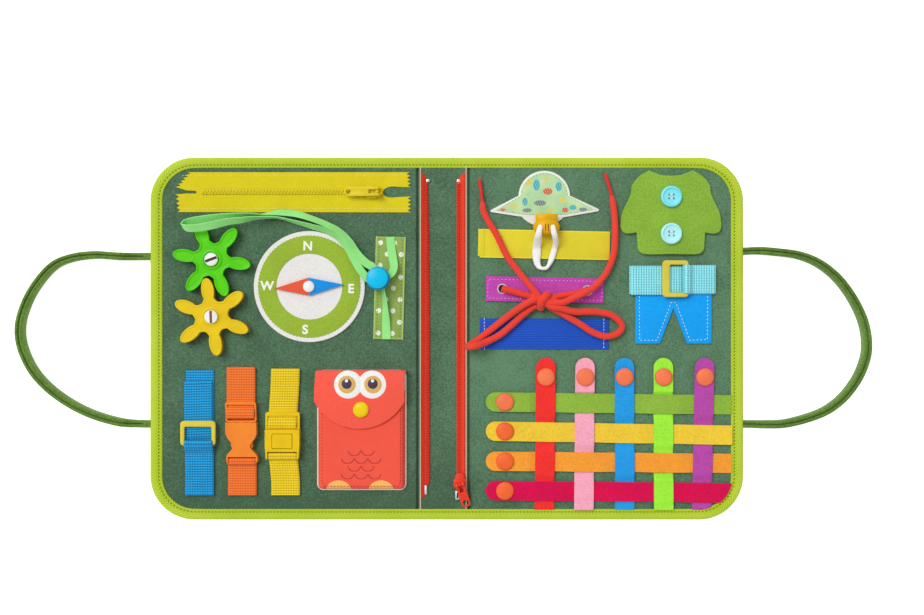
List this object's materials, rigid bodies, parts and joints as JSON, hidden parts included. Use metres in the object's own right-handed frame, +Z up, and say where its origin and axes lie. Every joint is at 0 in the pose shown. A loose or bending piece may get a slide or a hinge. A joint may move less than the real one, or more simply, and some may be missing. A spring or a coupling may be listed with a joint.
{
  "type": "busy book",
  "caption": "Felt busy book lying open: zips, flower gears, compass, straps with buckles, owl pouch, shoelace, clothes and weaving strips on two covers with loop handles.",
  "frame": {"origin": "The middle of the spine, on the surface that the open book lies on.", "axes": "+X runs from the left cover to the right cover, +Y from the bottom edge to the top edge of the pages, and +Z up out of the pages."},
  "size_m": [0.5966, 0.254, 0.0228],
  "materials": {
    "felt_green": "soft wool-like felt",
    "binding_lime": "woven herringbone tape",
    "handle_felt": "two layers of felt",
    "zip_yellow": "woven zip tape with a nylon coil",
    "zip_red": "woven zip tape with a nylon coil",
    "slider_yellow": "painted slider and tab",
    "slider_red": "painted slider and tab",
    "gear_green": "soft foam-like plastic",
    "gear_yellow": "soft foam-like plastic",
    "rivet_white": "smooth moulded plastic",
    "dial_white": "felt card with a printed ring",
    "needle_two_colour": "red half and blue half",
    "tag_olive": "spotted cotton",
    "ribbon_green": "satin ribbon",
    "lock_blue": "smooth moulded plastic",
    "web_blue": "ribbed webbing",
    "web_orange": "ribbed webbing",
    "web_yellow": "ribbed webbing",
    "web_cyan": "ribbed webbing",
    "ring_yellow": "smooth moulded plastic",
    "buckle_orange": "satin moulded plastic",
    "buckle_yellow": "satin moulded plastic",
    "owl_red": "smooth printed sheet",
    "saucer_white": "printed cotton with a felt edge",
    "toggle_yellow": "smooth moulded plastic",
    "elastic_white": "round woven elastic",
    "bands_mixed": "woven elastic and a cotton strip",
    "eyelet_metal": "painted eyelet",
    "lace_red": "round braided lace",
    "jacket_lime": "thick felt",
    "button_cyan": "clear tinted plastic",
    "shorts_blue": "felt with white stitching",
    "strips_mixed": "felt strips of nine colours",
    "snap_orange": "smooth moulded plastic"
  },
  "bodies": {
    "spine": {"spine_panel": "felt_green", "spine_binding": "binding_lime", "spine_zip": "zip_red"},
    "left_half": {"left_cover": "felt_green", "left_page": "felt_green", "left_binding": "binding_lime", "pocket_zip": "zip_yellow", "pivot_rivets": "rivet_white", "compass_dial": "dial_white", "ribbon_tag": "tag_olive", "ribbon_loop": "ribbon_green", "blue_strap": "web_blue", "orange_strap": "web_orange", "yellow_strap": "web_yellow", "strap_tails": "web_orange", "side_buckle_socket": "buckle_orange", "press_buckle_socket": "buckle_yellow", "owl_pouch": "owl_red"},
    "right_half": {"right_cover": "felt_green", "right_page": "felt_green", "right_binding": "binding_lime", "saucer_patch": "saucer_white", "toggle_barrel": "toggle_yellow", "toggle_loop": "elastic_white", "sewn_bands": "bands_mixed", "eyelets": "eyelet_metal", "shoelace": "lace_red", "jacket": "jacket_lime", "jacket_buttons": "button_cyan", "shorts": "shorts_blue", "belt": "web_cyan", "weave_strips": "strips_mixed", "snap_sockets": "snap_orange"},
    "spine_slider": {"spine_slider": "slider_red"},
    "spine_pull": {"spine_pull": "slider_red"},
    "left_handle": {"left_handle": "handle_felt"},
    "right_handle": {"right_handle": "handle_felt"},
    "pocket_slider": {"pocket_slider": "slider_yellow"},
    "pocket_pull": {"pocket_pull": "slider_yellow"},
    "green_gear": {"green_gear": "gear_green"},
    "yellow_gear": {"yellow_gear": "gear_yellow"},
    "compass_needle": {"compass_needle": "needle_two_colour"},
    "cord_lock": {"cord_lock": "lock_blue"},
    "cord_lock_button": {"cord_lock_button": "lock_blue"},
    "blue_strap_ring": {"blue_strap_ring": "ring_yellow"},
    "side_buckle_plug": {"side_buckle_plug": "buckle_orange"},
    "press_buckle_tongue": {"press_buckle_tongue": "buckle_yellow"},
    "press_buckle_button": {"press_buckle_button": "buckle_yellow"},
    "owl_flap": {"owl_flap": "owl_red"},
    "toggle_button": {"toggle_button": "toggle_yellow"},
    "belt_ring": {"belt_ring": "ring_yellow"},
    "across_end_1": {"across_end_1": "strips_mixed"},
    "across_end_2": {"across_end_2": "strips_mixed"},
    "across_end_3": {"across_end_3": "strips_mixed"},
    "across_end_4": {"across_end_4": "strips_mixed"},
    "down_end_1": {"down_end_1": "strips_mixed"},
    "down_end_2": {"down_end_2": "strips_mixed"},
    "down_end_3": {"down_end_3": "strips_mixed"},
    "down_end_4": {"down_end_4": "strips_mixed"},
    "down_end_5": {"down_end_5": "strips_mixed"}
  },
  "joints": [
    {"name": "left_cover_fold", "type": "hinge", "parent": "spine", "child": "left_half", "pos_m": [-0.0185, 0, 0.0028], "axis": [0, 1, 0], "range_deg": [0, 90]},
    {"name": "right_cover_fold", "type": "hinge", "parent": "spine", "child": "right_half", "pos_m": [0.0185, 0, 0.0028], "axis": [0, -1, 0], "range_deg": [0, 90], "deforming": ["shoelace"]},
    {"name": "left_handle_swing", "type": "hinge", "parent": "left_half", "child": "left_handle", "pos_m": [-0.2103, 0, 0.0028], "axis": [0, -1, 0], "range_deg": [-95, 0]},
    {"name": "right_handle_swing", "type": "hinge", "parent": "right_half", "child": "right_handle", "pos_m": [0.2103, 0, 0.0028], "axis": [0, 1, 0], "range_deg": [-95, 0]},
    {"name": "spine_slider_run", "type": "slide", "parent": "spine", "child": "spine_slider", "axis": [0, -1, 0], "range_m": [-0.205, 0]},
    {"name": "spine_pull_flip", "type": "hinge", "parent": "spine_slider", "child": "spine_pull", "pos_m": [0.0116, -0.1015, 0.0108], "axis": [1, 0, 0], "range_deg": [-165, 0]},
    {"name": "pocket_slider_run", "type": "slide", "parent": "left_half", "child": "pocket_slider", "axis": [1, 0, 0], "range_m": [-0.11, 0]},
    {"name": "pocket_pull_flip", "type": "hinge", "parent": "pocket_slider", "child": "pocket_pull", "pos_m": [-0.0458, 0.1024, 0.0108], "axis": [0, -1, 0], "range_deg": [-165, 0]},
    {"name": "green_gear_spin", "type": "hinge", "parent": "left_half", "child": "green_gear", "pos_m": [-0.1607, 0.055, 0.0089], "axis": [0, 0, 1], "continuous": true},
    {"name": "yellow_gear_spin", "type": "hinge", "parent": "left_half", "child": "yellow_gear", "pos_m": [-0.1607, 0.0152, 0.0089], "axis": [0, 0, 1], "continuous": true},
    {"name": "compass_needle_spin", "type": "hinge", "parent": "left_half", "child": "compass_needle", "pos_m": [-0.0936, 0.0363, 0.00785], "axis": [0, 0, 1], "continuous": true},
    {"name": "cord_lock_run", "type": "slide", "parent": "left_half", "child": "cord_lock", "axis": [0.7604, -0.6494, 0], "range_m": [-0.03, 0], "deforming": ["ribbon_loop"]},
    {"name": "cord_lock_press", "type": "slide", "parent": "cord_lock", "child": "cord_lock_button", "axis": [0, 0, 1], "range_m": [-0.0025, 0], "stiffness_N_per_m": 300},
    {"name": "blue_ring_tilt", "type": "hinge", "parent": "left_half", "child": "blue_strap_ring", "pos_m": [-0.1707, -0.0732, 0.0088], "axis": [-1, 0, 0], "range_deg": [-110, 0]},
    {"name": "side_buckle_release", "type": "slide", "parent": "left_half", "child": "side_buckle_plug", "axis": [0, -1, 0], "range_m": [-0.016, 0], "deforming": ["orange_strap"]},
    {"name": "press_buckle_release", "type": "slide", "parent": "left_half", "child": "press_buckle_tongue", "axis": [0, -1, 0], "range_m": [-0.012, 0], "deforming": ["yellow_strap"]},
    {"name": "press_buckle_press", "type": "slide", "parent": "left_half", "child": "press_buckle_button", "axis": [0, 0, 1], "range_m": [-0.0012, 0], "stiffness_N_per_m": 600},
    {"name": "owl_flap_open", "type": "hinge", "parent": "left_half", "child": "owl_flap", "pos_m": [-0.0585, -0.02285, 0.01315], "axis": [1, 0, 0], "range_deg": [-170, 0]},
    {"name": "toggle_press", "type": "slide", "parent": "right_half", "child": "toggle_button", "axis": [0, 1, 0], "range_m": [-0.0025, 0], "stiffness_N_per_m": 300},
    {"name": "belt_ring_tilt", "type": "hinge", "parent": "right_half", "child": "belt_ring", "pos_m": [0.1693, 0.0417, 0.0102], "axis": [0, -1, 0], "range_deg": [-110, 0]},
    {"name": "across_end_1_lift", "type": "hinge", "parent": "right_half", "child": "across_end_1", "pos_m": [0.05905, -0.0457, 0.00735], "axis": [0, -1, 0], "range_deg": [-150, 0]},
    {"name": "across_end_2_lift", "type": "hinge", "parent": "right_half", "child": "across_end_2", "pos_m": [0.05905, -0.0662, 0.00735], "axis": [0, -1, 0], "range_deg": [-150, 0]},
    {"name": "across_end_3_lift", "type": "hinge", "parent": "right_half", "child": "across_end_3", "pos_m": [0.05905, -0.0867, 0.00735], "axis": [0, -1, 0], "range_deg": [-150, 0]},
    {"name": "across_end_4_lift", "type": "hinge", "parent": "right_half", "child": "across_end_4", "pos_m": [0.05905, -0.1072, 0.00735], "axis": [0, -1, 0], "range_deg": [-150, 0]},
    {"name": "down_end_1_lift", "type": "hinge", "parent": "right_half", "child": "down_end_1", "pos_m": [0.0717, -0.03685, 0.00735], "axis": [1, 0, 0], "range_deg": [0, 150]},
    {"name": "down_end_2_lift", "type": "hinge", "parent": "right_half", "child": "down_end_2", "pos_m": [0.0995, -0.03685, 0.00735], "axis": [1, 0, 0], "range_deg": [0, 150]},
    {"name": "down_end_3_lift", "type": "hinge", "parent": "right_half", "child": "down_end_3", "pos_m": [0.1273, -0.03685, 0.00735], "axis": [1, 0, 0], "range_deg": [0, 150]},
    {"name": "down_end_4_lift", "type": "hinge", "parent": "right_half", "child": "down_end_4", "pos_m": [0.1551, -0.03685, 0.00735], "axis": [1, 0, 0], "range_deg": [0, 150]},
    {"name": "down_end_5_lift", "type": "hinge", "parent": "right_half", "child": "down_end_5", "pos_m": [0.1829, -0.03685, 0.00735], "axis": [1, 0, 0], "range_deg": [0, 150]}
  ],
  "couplings": [
    {"joint": "yellow_gear_spin", "follows": "green_gear_spin", "ratio": -1}
  ]
}
